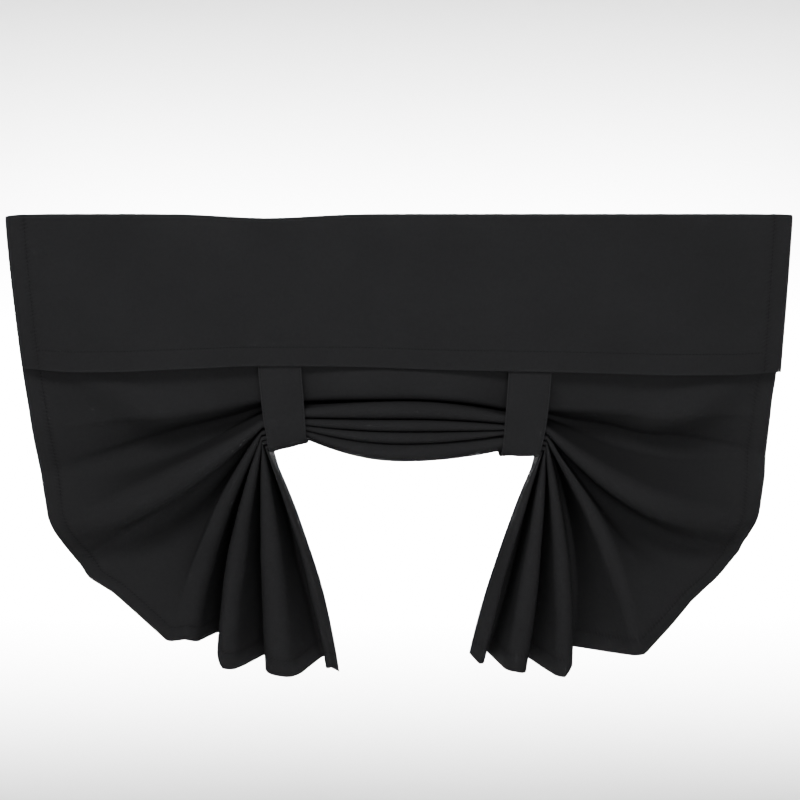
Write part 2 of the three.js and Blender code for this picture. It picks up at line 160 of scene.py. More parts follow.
# A band's path from the top in front, under the bundle and up the back: distance behind the
# panel's plane, height at the left band outside and inside, at the right band inside and outside,
# x of the middle of the left and right band, width
BAND_PATH = np.array([
    (-1.4, -13, -13, -13, -13, -184, 204, 66),
    (-1.4, -38, -38, -38, -38, -184, 204, 66),
    (-4.5, -95, -95, -95, -95, -184, 204, 66),
    (-8, -160, -160, -160, -160, -183.5, 203.5, 66),
    (-12.5, -225, -225, -225, -225, -181.5, 201, 66),
    (-27, -276, -272, -276, -280, -177, 196.5, 65),
    (-37.3, -312, -300, -308, -318, -173.5, 192.5, 62.5),
    (-38.5, -334, -321, -336, -342, -171, 189.5, 60),
    (-37, -350, -336.5, -356, -358, -170, 186.5, 58.5),
    (-26, -361, -346, -367, -367.2, -167.8, 183.2, 56.5),
    (-5, -363, -348.5, -369, -369.2, -167.4, 182.5, 56.5),
    (22, -362.2, -348, -368.5, -368.7, -167.4, 182.5, 56.5),
    (44, -356.5, -343, -363.5, -364, -168, 183, 56.5),
    (53, -340, -328, -346, -348, -169, 184.5, 56.5),
    (53, -319, -306, -318, -324, -170, 186.5, 56.5),
    (48.5, -292, -282, -288, -297, -172, 189, 58.5),
    (39, -240, -234, -238, -241, -175, 193, 60),
    (21, -140, -140, -140, -140, -180, 199, 63),
    (7, -70, -70, -70, -70, -183, 203, 65),
    (1.4, -38, -38, -38, -38, -184, 204, 66),
    (1.4, -13, -13, -13, -13, -184, 204, 66),
], float)
# Sewn width of a band
BAND_FLAT = 66.0

# Cells along the cloth's length in each part, and those of the lower hem that go round a fold
ROWS = {"flap": 30, "fold": 8, "drop": 26, "hem": 10, "hem_round": 4}
# Cells from one fold line to the next: round the first, along the straight run, round the second
BETWEEN = [
    (6, 8, 6), (6, 9, 6), (6, 8, 6), (6, 12, 6), (5, 9, 5),
    (5, 6, 5), (5, 6, 5), (5, 6, 5), (5, 6, 5), (5, 6, 5),
]
# Columns across the cloth: a fan past its side hem, under a band, and between the bands
COLUMNS = {"fan": 47, "band": 6, "swag": 55}
# Columns close to a side edge, as shares of the fan's width, then as shares of the side hem's
NEAR_EDGE = np.array([0, 0.0025, 0.012, 0.03, 0.047])
NEAR_HEM = np.array([0.92, 0.955, 0.985, 1.015, 1.045, 1.10, 1.25])
# Rows close to the flap's lower edge and across its hem, as shares of the flap's depth
NEAR_FLAP_HEM = np.array([0, 0.0035, 0.02, 0.06, 0.095, 0.112, 0.1215, 0.126, 0.1295, 0.134, 0.15])
# The flap draws in at its sides and leans forward with these powers of the share of the way down
FLAP_DRAW = 1.5
FLAP_LEAN = 1.6
# The share of the way down to the first fold where the panel starts to bend
BEND_FROM = 0.7
# A fan's columns lie a little closer together towards its band: power of the even spread
FAN_EVEN = 0.9
# Least share of its cells and most share of the way from crest to crest that a curve takes
CURVE_LEAST = 0.6
CURVE_MOST = 0.45
# Numbers of the parts of the cloth's width that are fans, counted from the left
LEFT_FAN = 0
RIGHT_FAN = 5
# Columns of the table SAG that give the slip at the left and at the right band
LEFT_SLIP = 4
RIGHT_SLIP = 5
# Points of a column's base line between two fold lines
BASE_STEPS = 24
BASE_Q = np.linspace(0, len(PLACE), len(PLACE) * BASE_STEPS + 1)
# Lengths of different columns are kept this far apart where all are looked up at once
FAR_APART = 1e5

# How the panel is sewn: a hem's turned-in cloth ends past its seam over a short step, the seam
# pulls in a groove with puckers on both sides, which also carry a painted shade, and an edge is
# rounded down to the least share of the thickness
HEM = {
    "past_seam": 1.2,
    "step": 0.8,
    "groove_half": 1.3,
    "groove_deep": 0.5,
    "pucker_half": 4.5,
    "edge_round": 2.0,
    "edge_least": 0.45,
}
# How a band is sewn: its seams' distance from its edges, their groove as a share of its thickness,
# the strength of their puckers and of the painted shade along them, and its rounded edge. Its rows
# are counted between two points of its path. It is rippled round its bottom turn, which is at a
# share of its length.
BAND = {
    "rows": 8,
    "middle_columns": 13,
    "seam": 3.3,
    "groove_half": 0.9,
    "groove_share": 0.25,
    "pucker": 0.35,
    "edge_round": 1.2,
    "edge_least": 0.5,
    "turn_at": 0.47,
    "turn_half": 60.0,
    "stretch": 1.6,
}
# Columns close to a band's edge, as shares of its width
NEAR_BAND_EDGE = np.array([0, 0.004, 0.012, 0.03, 0.045, 0.055, 0.065, 0.09, 0.14])
# An edge is worn by this share at most, which falls off over this width
WEAR_MOST = 0.5
WEAR_WIDE = 1.6
# A stitch: its share of the pitch, the bare length before the first one in pitches, and how flat
STITCH = {"share": 0.62, "first": 0.8, "flat": 0.6}
# Half width of a stitch and how far its middle stands above the cloth
HEM_STITCH = {"half": 0.45, "lift": 0.12}
BAND_STITCH = {"half": 0.32, "lift": 0.08}

# Faint ripples, as wave length and height: of the fans, of the flap and of a band's bottom turn
FAN_RIPPLE = [(190.0, 1.2), (75.0, 0.35)]
FLAP_RIPPLE = [(420.0, 1.0), (150.0, 0.25)]
BAND_RIPPLE = [(46.0, 0.5), (21.0, 0.22)]
# The fans' ripple grows over this share of the way out from the band, and down the cloth from one
# place in fold lines over some more
FAN_LOOSE = {"share": 0.5, "from": 0.5, "over": 1.5}
# The flap's ripple fades out towards the top edge over this length, and is drawn out lengthwise
FLAP_LOOSE = {"end": 235.0, "fade": 150.0, "stretch": 0.6}
# A soft crease swells and ebbs with this power of a half sine
CREASE_POWER = 1.5
# A soft trough ends at this fold line, and fades out over this many before it
TROUGH_END = 2.3
TROUGH_FADE = 0.6


def linear(code):
    """sRGB hex string to a linear colour: each channel over 255, then the sRGB curve undone."""
    out = []
    for k in (0, 2, 4):
        c = int(code[k:k + 2], 16) / 255
        out.append(c / 12.92 if c <= 0.04045 else ((c + 0.055) / 1.055) ** 2.4)
    return (*out, 1.0)


class CurtainSizes(PropertyGroup):
    """Sizes of the cloth and its sewing"""

    cloth: FloatProperty(
        name="Cloth thickness", description="Thickness of the blackout cloth",
        default=0.0007, unit="LENGTH")
    hem_extra: FloatProperty(
        name="Hem step", description="How much thicker the cloth is where it is hemmed",
        default=0.0011, unit="LENGTH")
    side_hem: FloatProperty(
        name="Side hem", description="Distance of the side hem's stitching from the edge",
        default=0.028, unit="LENGTH")
    flap_hem: FloatProperty(
        name="Flap hem", description="Distance of the flap hem's stitching from its edge",
        default=0.030, unit="LENGTH")
    stitch_pitch: FloatProperty(
        name="Stitch pitch", description="Length of one stitch and its gap",
        default=0.0050, unit="LENGTH")
    band_cloth: FloatProperty(
        name="Band thickness", description="Thickness of a band's two layers",
        default=0.0014, unit="LENGTH")


class CurtainFinish(PropertyGroup):
    """Colours of the curtain and of the studio"""

    cloth_colour: FloatVectorProperty(
        name="Cloth colour", description="Colour of the cloth's lit face",
        subtype="COLOR", default=linear("272728")[:3], min=0, max=1)
    thread_colour: FloatVectorProperty(
        name="Thread colour", description="Colour of the sewing thread",
        subtype="COLOR", default=linear("131314")[:3], min=0, max=1)
    backdrop: FloatVectorProperty(
        name="Backdrop colour", description="Colour of the floor and backdrop",
        subtype="COLOR", default=linear("f2f2f2")[:3], min=0, max=1)


def mix(a, b, t):
    """Straight line from a at t 0 to b at t 1."""
    return a + (b - a) * t


def smooth_line(values, at):
    """Cubic through the values at 0, 1, 2 and so on. The slope at each is the harmonic mean of the
    steps before and after it, and zero where these have opposite signs, so it never overshoots."""
    values = np.asarray(values, float)
    at = np.asarray(at, float)
    steps = np.diff(values, axis=-1)
    before, after = steps[..., :-1], steps[..., 1:]
    agree = before * after > 0
    total = np.where(agree, before + after, 1.0)
    inner = np.where(agree, 2 * before * after / total, 0.0)
    slopes = np.concatenate([steps[..., :1], inner, steps[..., -1:]], axis=-1)
    k = np.clip(np.floor(at).astype(int), 0, values.shape[-1] - 2)
    t = at - k
    a, b = values[..., k], values[..., k + 1]
    sa, sb = slopes[..., k], slopes[..., k + 1]
    return ((2 * t**3 - 3 * t**2 + 1) * a + (t**3 - 2 * t**2 + t) * sa
            + (3 * t**2 - 2 * t**3) * b + (t**3 - t**2) * sb)


def look_up(rows, at, col):
    """Smooth value of a column of a table sorted by its first column."""
    places = np.interp(at, rows[:, 0], np.arange(len(rows)))
    return smooth_line(rows[:, col], places)


def ripple(u, v, seed, waves):
    """Sum of a few sine waves in two directions, each row (wave length, height), with seeded phases."""
    rng = np.random.default_rng(seed)
    out = np.zeros(np.broadcast(u, v).shape)
    for length, height in waves:
        for turn in (0.0, 1.1, 2.3):
            a = turn + rng.uniform(-0.4, 0.4)
            phase = rng.uniform(0, 2 * np.pi)
            along = u * math.cos(a) + v * math.sin(a)
            out = out + height * np.sin(2 * np.pi * along / length + phase) / 3
    return out


def top_height(x):
    """Height of the top fold line: level, less a bell-shaped dip and an exponential droop at each
    corner."""
    dip = TOP["dip"] * np.exp(-(((x - TOP["dip_at"]) / TOP["dip_wide"]) ** 2))
    left = TOP["left_corner"] * np.exp(-(x - LINES["left_rim"][0]) / TOP["corner_wide"])
    right = TOP["right_corner"] * np.exp(-(LINES["right_rim"][0] - x) / TOP["corner_wide"])
    return TOP["level"] - dip - left - right


def three_way(table, cols, t):
    """Quadratic through the values at the rim, half way and at the band, for each fold line."""
    a, b, c = 2 * (t - 0.5) * (t - 1), -4 * t * (t - 1), 2 * t * (t - 0.5)
    rim, half, band = (table[:, k] for k in cols)
    return a[:, None] * rim + b[:, None] * half + c[:, None] * band


def gathered_x(top, low, z):
    """x of a line of the cloth at height z: it moves from its top place to its gathered one with
    the fourth power of the height."""
    return mix(top, low, np.minimum(1.0, (z / GATHER) ** 4))


def down_column(top, folds):
    """Smooth values along each column's base line: its value at the top edge, then one at each
    fold line."""
    top = np.reshape(top, (-1, 1))
    folds = np.broadcast_to(folds, (len(top), len(PLACE)))
    return smooth_line(np.concatenate([top, folds], axis=1), BASE_Q)


def fan_columns(side, t):
    """Columns between the rim (t 0) and the band (t 1). The base line is the mix of the side edge
    and the band's vertical line at the same fold, moved by the sag times 4t(1 - t)."""
    left = side == "left"
    edge = LEFT_EDGE if left else RIGHT_EDGE
    line = LINES[side + "_out"]
    top = mix(LINES[side + "_rim"][0], line[0], t)
    start = TURN - top_height(top)
    run = np.concatenate([[0], np.cumsum(np.hypot(*np.diff(edge, axis=0).T))])
    on_edge = down_column(start, PLACE[:, 1 if left else 7])
    rim_x = np.interp(on_edge, run, edge[:, 0])
    rim_z = np.interp(on_edge, run, edge[:, 1])
    band_z = down_column(-start, PLACE[:, 2 if left else 6])
    slip = down_column(0, SAG[:, LEFT_SLIP if left else RIGHT_SLIP])
    band_x = gathered_x(line[0], line[1], band_z) + slip
    sag_x = down_column(0, SAG[:, 0 if left else 2])
    sag_z = down_column(0, SAG[:, 1 if left else 3])
    swing = (4 * t * (1 - t))[:, None]
    share = t[:, None]
    x = mix(rim_x, band_x, share) + sag_x * swing
    z = mix(rim_z, band_z, share) + sag_z * swing
    cols = (0, 1, 2) if left else (8, 7, 6)
    return {
        "top": top,
        "base": np.stack([x, z], axis=-1),
        "depth": three_way(DEPTH, cols, t),
        "radius": three_way(RADIUS, cols, t),
    }


def straight_columns(line_a, line_b, cols, t, weight, slip=None):
    """Columns whose base line is vertical, mixed between two columns of the tables and moved by the
    slip of one side's band, more so towards its outer edge."""
    top = mix(line_a[0], line_b[0], t)
    low = mix(line_a[1], line_b[1], t)
    start = TURN - top_height(top)
    heights, depth, radius = (mix(table[:, cols[0]][None], table[:, cols[1]][None], weight[:, None])
                              for table in (PLACE, DEPTH, RADIUS))
    z = down_column(-start, heights)
    x = gathered_x(top[:, None], low[:, None], z)
    if slip is not None:
        outer = 1 - weight if slip == LEFT_SLIP else weight
        x = x + outer[:, None] * down_column(0, SAG[:, slip])
    return {"top": top, "base": np.stack([x, z], axis=-1), "depth": depth, "radius": radius}


def fan_spread(hem):
    """Places from rim to band: close together at the edge and across the side hem, then spread with
    a power of even steps."""
    near = np.concatenate([NEAR_EDGE, hem * NEAR_HEM])
    steps = np.linspace(0, 1, COLUMNS["fan"])[1:-1]
    return np.concatenate([near, near[-1] + (1 - near[-1]) * steps**FAN_EVEN])


def cloth_columns(hem):
    """All columns of the cloth from the left side edge to the right side edge, joined, with the
    number of the part that each is in and its place across that part."""
    left_out, left_in = LINES["left_out"], LINES["left_in"]
    right_in, right_out = LINES["right_in"], LINES["right_out"]
    fan = fan_spread(hem)
    fan_back = np.concatenate([fan, [1.0]])[::-1]
    band = np.arange(COLUMNS["band"]) / COLUMNS["band"]
    swag = np.linspace(0, 1, COLUMNS["swag"])
    half_a, half_b = swag[swag < 0.5], swag[swag >= 0.5]
    parts = [
        (fan, fan_columns("left", fan)),
        (band, straight_columns(left_out, left_in, (2, 3), band, band, LEFT_SLIP)),
        (half_a, straight_columns(left_in, right_in, (4, 3), half_a, (2 * half_a - 1) ** 2)),
        (half_b, straight_columns(left_in, right_in, (4, 5), half_b, (2 * half_b - 1) ** 2)),
        (band[1:], straight_columns(right_in, right_out, (5, 6), band[1:], band[1:], RIGHT_SLIP)),
        (fan_back, fan_columns("right", fan_back)),
    ]
    cols = {key: np.concatenate([part[key] for _, part in parts]) for key in parts[0][1]}
    zone = np.concatenate([np.full(len(place), n) for n, (place, _) in enumerate(parts)])
    spread = np.concatenate([place for place, _ in parts])
    return cols, zone, spread


def on_fold(fold, angle):
    """Point on a round fold where the cloth heads at the given angle."""
    away = fold["way"] * fold["r"]
    return (fold["s"] + away * np.sin(angle), fold["y"] + away - away * np.cos(angle))


def heading_between(a, b):
    """Angle of the straight run that touches round fold a and then round fold b."""
    ds = b["s"] - a["s"]
    dy = b["y"] + b["way"] * b["r"] - a["y"] - a["way"] * a["r"]
    lean = (b["way"] * b["r"] - a["way"] * a["r"]) / np.hypot(ds, dy)
    return np.arctan2(dy, ds) - np.arcsin(np.clip(lean, -1, 1))


def crest_to_crest(fold_a, fold_b, cells):
    """Points from the crest of one fold to the crest of the next: part of a circle, a straight run
    and part of a circle, shared out by the three cell counts. Columns go down, points across."""
    a, b = ({key: np.reshape(value, (-1, 1)) for key, value in fold.items()}
            for fold in (fold_a, fold_b))
    heading = heading_between(a, b)
    leave, meet = on_fold(a, heading), on_fold(b, heading)
    arc_a, arc_b = a["r"] * np.abs(heading), b["r"] * np.abs(heading)
    straight = np.hypot(meet[0] - leave[0], meet[1] - leave[1])
    whole = arc_a + straight + arc_b
    first, last = (np.minimum(np.maximum(arc, CURVE_LEAST * whole * n / sum(cells)), whole * CURVE_MOST)
                   for arc, n in ((arc_a, cells[0]), (arc_b, cells[2])))
    middle = whole - first - last
    stops = []
    for start, length, n in zip((0 * first, first, first + middle), (first, middle, last), cells):
        stops.append(start + length * (np.arange(1, n + 1) / max(n, 1)))
    stop = np.concatenate(stops, axis=1)
    turn = np.sign(heading)
    on_a = on_fold(a, turn * stop / np.maximum(a["r"], 1e-6))
    on_b = on_fold(b, turn * np.maximum(0, whole - stop) / np.maximum(b["r"], 1e-6))
    t = (stop - arc_a) / straight
    points = []
    for n in (0, 1):
        rest = np.where(stop <= arc_a + straight, mix(leave[n], meet[n], t), on_b[n])
        points.append(np.where(stop < arc_a, on_a[n], rest))
    return points


def panel_and_pleats(cols):
    """The cloth behind the flap: down the panel, which bends smoothly to the first fold line, and
    then in touching arcs and straight runs to the front and back round each fold line to the lower
    hem. Also each row's place in fold lines, from 0 at the top to 12 at the lower hem."""
    base = cols["base"]
    run = lengths_down(base)
    folds = []
    for k, way in enumerate(PLACE[:, 0]):
        folds.append({
            "s": run[:, (k + 1) * BASE_STEPS],
            "y": cols["depth"][:, k],
            "r": np.maximum(cols["radius"][:, k], 0.0),
            "way": way,
        })
    t = np.arange(ROWS["drop"] + 1) / ROWS["drop"]
    late = np.clip((t - BEND_FROM) / (1 - BEND_FROM), 0, 1)
    parts_s = [folds[0]["s"][:, None] * t]
    parts_y = [folds[0]["y"][:, None] * late * late * (3 - 2 * late)]
    rows = [t]
    hem_cells = (ROWS["hem_round"], ROWS["hem"] - ROWS["hem_round"], 0)
    for k, cells in enumerate([*BETWEEN, hem_cells]):
        s, y = crest_to_crest(folds[k], folds[k + 1], cells)
        parts_s.append(s)
        parts_y.append(y)
        rows.append(k + 1 + np.arange(1, sum(cells) + 1) / sum(cells))
    s, y = np.concatenate(parts_s, axis=1), np.concatenate(parts_y, axis=1)
    offset = (np.arange(len(run)) * FAR_APART)[:, None]
    at = (np.clip(s, 0, run[:, -1:]) + offset).ravel()
    x, z = (np.interp(at, (run + offset).ravel(), base[..., n].ravel()).reshape(s.shape) for n in (0, 1))
    return np.stack([x, y, z], axis=-1), np.concatenate(rows)


def flap_and_turn(top):
    """The flap from its lower edge up, whose width and lean grow with powers of the way down, and
    half a circle over the top."""
    crown = top_height(top)[:, None]
    share = (top - top[0]) / (top[-1] - top[0])
    low_x = mix(FLAP_EDGE[0, 0], FLAP_EDGE[-1, 0], share)
    low_z = look_up(FLAP_EDGE, low_x, 1)[:, None]
    low_y = -look_up(FLAP_EDGE, low_x, 2)[:, None]
    rest = np.linspace(NEAR_FLAP_HEM[-1], 1, ROWS["flap"] - len(NEAR_FLAP_HEM) + 2)[1:-1]
    t = 1 - np.concatenate([NEAR_FLAP_HEM, rest])
    flap = np.stack([
        mix(top[:, None], low_x[:, None], t**FLAP_DRAW),
        mix(-2 * TURN, low_y, t**FLAP_LEAN),
        mix(crown - TURN, low_z, t),
    ], axis=-1)
    a = np.pi * np.arange(ROWS["fold"]) / ROWS["fold"]
    turn = np.stack(np.broadcast_arrays(
        top[:, None],
        -TURN - TURN * np.cos(a),
        crown - TURN + TURN * np.sin(a),
    ), axis=-1)
    return flap, turn


def cloth_middle(hem):
    """Middle of the cloth's thickness on a grid of columns and rows, from the flap's lower edge over
    the top to the lower hem, with each column's part and place across it, each row's place in fold
    lines (-1 up to the top), and the number of rows of the flap."""
    cols, zone, spread = cloth_columns(hem)
    flap, turn = flap_and_turn(cols["top"])
    lower, rows = panel_and_pleats(cols)
    grid = np.concatenate([flap, turn, lower], axis=1)
    grid[..., 1] += TURN
    q = np.concatenate([np.full(flap.shape[1] + turn.shape[1], -1.0), rows])
    return grid, zone, spread, q, flap.shape[1]


def lengths_down(grid):
    """Running length of each column of a grid, row by row."""
    step = np.linalg.norm(np.diff(grid, axis=1), axis=-1)
    return np.concatenate([np.zeros((len(grid), 1)), np.cumsum(step, axis=1)], axis=1)


def normals_of(grid):
    """Unit normals of a grid of points: the cross product of its two directions."""
    du = np.gradient(grid, axis=0)
    dv = np.gradient(grid, axis=1)
    out = np.cross(du, dv)
    return out / np.maximum(np.linalg.norm(out, axis=-1, keepdims=True), 1e-9)


# Soft creases that follow the fans' folds: side, the fold line it lies on (fractions
# lie between two lines), half width in the same count, height outwards in mm, and where along the
# ray from the rim (0) to the band (1) it starts and ends
CREASES = [
    ("left", 4.45, 0.22, 7.0, 0.02, 0.92),
    ("left", 4.80, 0.09, -4.5, 0.00, 0.85),
    ("left", 2.05, 0.60, 20.0, 0.00, 1.00),
    ("left", 2.90, 0.55, -5.0, 0.05, 0.95),
    ("left", 3.85, 0.40, 8.0, 0.05, 0.95),
    ("right", 4.35, 0.20, 5.0, 0.10, 0.85),
    ("right", 2.05, 0.60, 22.0, -0.05, 0.97),
    ("right", 2.90, 0.55, -5.0, 0.05, 0.95),
    ("right", 3.85, 0.40, 8.0, 0.05, 0.95),
]

# Soft troughs of the panel between the flap and the first fold, given in the front view:
# x and z of one end and of the other, half width and depth in mm
TROUGHS = [
    (-230, -300, -420, -332, 22, 7.0),
    (-330, -330, -520, -222, 30, 12.0),
    (300, -330, 440, -345, 20, 5.0),
    (345, -362, 560, -226, 32, 15.0),
]


def crease_heights(grid, zone, spread, q):
    """Sum of the soft creases and troughs, each a bell across its line times a hump along it."""
    out = np.zeros((len(zone), len(q)))
    for side, at, half, height, start, end in CREASES:
        here = zone == (LEFT_FAN if side == "left" else RIGHT_FAN)
        along = np.clip((spread - start) / (end - start), 0, 1)
        hump = np.where(here, np.sin(np.pi * along) ** CREASE_POWER, 0.0)
        out += height * hump[:, None] * np.exp(-(((q[None, :] - at) / half) ** 2))
    on_panel = np.clip((TROUGH_END - q) / TROUGH_FADE, 0, 1) * (q > 0)
    for x_a, z_a, x_b, z_b, half, depth in TROUGHS:
        way = np.array([x_b - x_a, z_b - z_a], float)
        length = np.hypot(*way)
        way /= length
        from_end = grid[..., [0, 2]] - (x_a, z_a)
        along = np.clip(from_end @ way / length, 0, 1)
        off = from_end @ np.array([-way[1], way[0]])
        out -= depth * np.sin(np.pi * along) * np.exp(-((off / half) ** 2)) * on_panel
    return out


def ripple_heights(zone, spread, q, across, down):
    """Faint ripple of the fans, stronger away from the band and below the top, and of the flap, which
    fades towards the top edge."""
    from_band = np.where((zone == LEFT_FAN) | (zone == RIGHT_FAN), 1 - spread, 0.0)[:, None]
    loose = np.clip(from_band / FAN_LOOSE["share"], 0, 1)
    loose = loose * np.clip((q[None, :] - FAN_LOOSE["from"]) / FAN_LOOSE["over"], 0, 1)
    on_flap = (q < 0)[None, :] * np.clip((FLAP_LOOSE["end"] - down) / FLAP_LOOSE["fade"], 0, 1)
    return (loose * ripple(across, down, 11, FAN_RIPPLE)
            + on_flap * ripple(across, down * FLAP_LOOSE["stretch"], 23, FLAP_RIPPLE))


def grid_quads(ids):
    """Quads between neighbouring points of a grid of point numbers."""
    return np.stack([ids[:-1, :-1], ids[1:, :-1], ids[1:, 1:], ids[:-1, 1:]], axis=-1).reshape(-1, 4)


def closed_sheet(grid, thick):
    """Closed sheet of points grid +- half the thickness along its normals, as quads. The sides that
    lie along the grid's border are closed with one row of quads."""
    out = normals_of(grid) * thick[..., None] / 2
    spots = np.concatenate([(grid + out).reshape(-1, 3), (grid - out).reshape(-1, 3)])
    ids = np.arange(thick.size).reshape(thick.shape)
    back = ids + thick.size
    quads = [grid_quads(ids), grid_quads(back.T)]
    for rim in (np.s_[:, 0], np.s_[::-1, -1], np.s_[0, ::-1], np.s_[-1, :]):
        a, b = ids[rim], back[rim]
        quads.append(np.stack([a[1:], a[:-1], b[:-1], b[1:]], axis=-1))
    return spots, np.concatenate(quads)


def new_piece(name, spots, faces, material, uv=None, values=None):
    """A mesh object at the origin from points in millimetres, with its own UV map and point values."""
    mesh = bpy.data.meshes.new(name)
    mesh.from_pydata((spots * MM).tolist(), [], faces.tolist())
    mesh.polygons.foreach_set("use_smooth", np.ones(len(mesh.polygons), bool))
    if uv is not None:
        loops = np.empty(len(mesh.loops), np.int32)
        mesh.loops.foreach_get("vertex_index", loops)
        layer = mesh.uv_layers.new(name="cloth")
        layer.data.foreach_set("uv", uv[loops].astype(np.float32).ravel())
    for key, value in (values or {}).items():
        mesh.attributes.new(key, "FLOAT", "POINT").data.foreach_set("value", value.astype(np.float32))
    mesh.materials.append(material)
    mesh.update()
    obj = bpy.data.objects.new(name, mesh)
    bpy.context.scene.collection.objects.link(obj)
    return obj


def cloth_piece(name, grid, thick, across, down, nearest, seam, material):
    """A closed sheet of cloth. Its UV map is its flat place in metres, its wear falls off
    exponentially from its nearest edge, and its seam value is the strength of the puckers and of
    the painted shade along them."""
    spots, faces = closed_sheet(grid, thick)
    flat = np.stack(np.broadcast_arrays(across, down), axis=-1).reshape(-1, 2) * MM
    values = {"wear": WEAR_MOST * np.exp(-nearest / WEAR_WIDE), "seam": seam}
    both = {key: np.tile(np.broadcast_to(value, down.shape).ravel(), 2) for key, value in values.items()}
    return new_piece(name, spots, faces, material, np.tile(flat, (2, 1)), both)


def wear_on_body(*pieces):
    """The curtain has one body, and each piece is attached to it."""
    for piece in pieces:
        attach(piece, "root")


def stitch_form():
    """One stitch along x, one unit long and one unit in half width: two poles and three rings."""
    sides = 5
    rings = [(-0.34, 0.75), (0.0, 1.0), (0.34, 0.75)]
    a = 2 * np.pi * np.arange(sides) / sides
    spots = [np.array([[-0.5, 0, 0]])]
    for x, r in rings:
        spots.append(np.stack([np.full(sides, x), r * np.cos(a), r * np.sin(a)], axis=-1))
    spots.append(np.array([[0.5, 0, 0]]))
    k = np.arange(sides)
    n = (k + 1) % sides
    faces = [np.stack([0 * k, 1 + n, 1 + k], axis=-1)]
    for p, q in ((1, 1 + sides), (1 + sides, 1 + 2 * sides)):
        faces.append(np.stack([p + k, p + n, q + n], axis=-1))
        faces.append(np.stack([p + k, q + n, q + k], axis=-1))
    last = 1 + 3 * sides
    faces.append(np.stack([last + 0 * k, last - sides + k, last - sides + n], axis=-1))
    return np.concatenate(spots), np.concatenate(faces)


def points_along(values, run, at):
    """Points of a line at some running lengths, each coordinate on its own."""
    return np.stack([np.interp(at, run, values[:, k]) for k in range(3)], axis=-1)


def stitches(line, out, pitch, half, lift):
    """Stitches along a line of points: one every pitch, turned along the line and lifted outwards.
    A stitch's points are centre + x length along + y half across + z half outwards."""
    length = STITCH["share"] * pitch
    run = np.concatenate([[0], np.cumsum(np.linalg.norm(np.diff(line, axis=0), axis=1))])
    bare = STITCH["first"] * pitch
    at = np.arange(bare, run[-1] - bare, pitch)
    centre = points_along(line, run, at)
    along = points_along(line, run, at + length / 2) - points_along(line, run, at - length / 2)
    along /= np.maximum(np.linalg.norm(along, axis=1, keepdims=True), 1e-9)
    up = points_along(out, run, at)
    up -= (up * along).sum(axis=1, keepdims=True) * along
    up /= np.maximum(np.linalg.norm(up, axis=1, keepdims=True), 1e-9)
    side = np.cross(up, along)
    form, faces = stitch_form()
    spots = (centre[:, None] + up[:, None] * lift
             + along[:, None] * form[None, :, :1] * length
             + side[:, None] * form[None, :, 1:2] * half
             + up[:, None] * form[None, :, 2:] * half * STITCH["flat"])
    numbers = np.arange(len(at))[:, None, None] * len(form)
    return spots.reshape(-1, 3), (faces[None] + numbers).reshape(-1, 3)


def stitching_piece(name, grid, thick, lines, pitch, stitch, material):
    """Stitches on both faces of a sheet along lines of its grid: a stitch's line is the grid moved
    outwards by half the thickness."""
    out = normals_of(grid)
    spots, faces, count = [], [], 0
    for face in (1, -1):
        for where in lines:
            surface = grid[where] + face * out[where] * (thick[where] / 2)[:, None]
            part, part_faces = stitches(surface, face * out[where], pitch, **stitch)
            spots.append(part)
            faces.append(part_faces + count)
            count += len(part)
    return new_piece(name, np.concatenate(spots), np.concatenate(faces), material)


def node(tree, kind, inputs=None, settings=None, out=0):
    """Adds one node and gives one of its outputs: inputs are socket values or other nodes' outputs,
    and settings are the node's own values."""
    made = tree.nodes.new(kind)
    for key, value in (settings or {}).items():
        setattr(made, key, value)
    for key, value in (inputs or {}).items():
        socket = made.inputs[key]
        if isinstance(value, bpy.types.NodeSocket):
            tree.links.new(value, socket)
        else:
            socket.default_value = value
    return made.outputs[out] if len(made.outputs) else None


def empty_tree(owner):
    """The node tree of a material or world, with nothing in it."""
    owner.use_nodes = True
    owner.node_tree.nodes.clear()
    return owner.node_tree


# The cloth's bands: mm apart, turn in degrees and unevenness. The weave's threads are 0.42 mm apart,
# which is finer than a pixel of the render, so they are drawn 2.5 times as coarse.
CLOTH_BANDS = {
    "warp": (0.42 * 2.5, 0, 0.6),
    "weft": (0.42 * 2.5, 90, 0.6),
    "pucker": (5.6, 65, 2.0),
}
# Its noises: mm across, detail, and the two tones that they are spread between
CLOTH_NOISES = {
    "slub": (5.0, 3.0, 0.96, 1.04),
    "cloud": (140.0, 2.0, 0.95, 1.05),
    "fade": (40.0, 1.0, 0.35, 1.0),
}
# The wave texture makes one sine band in this much of its scaled length
WAVE_BAND = 2 * math.pi / 20


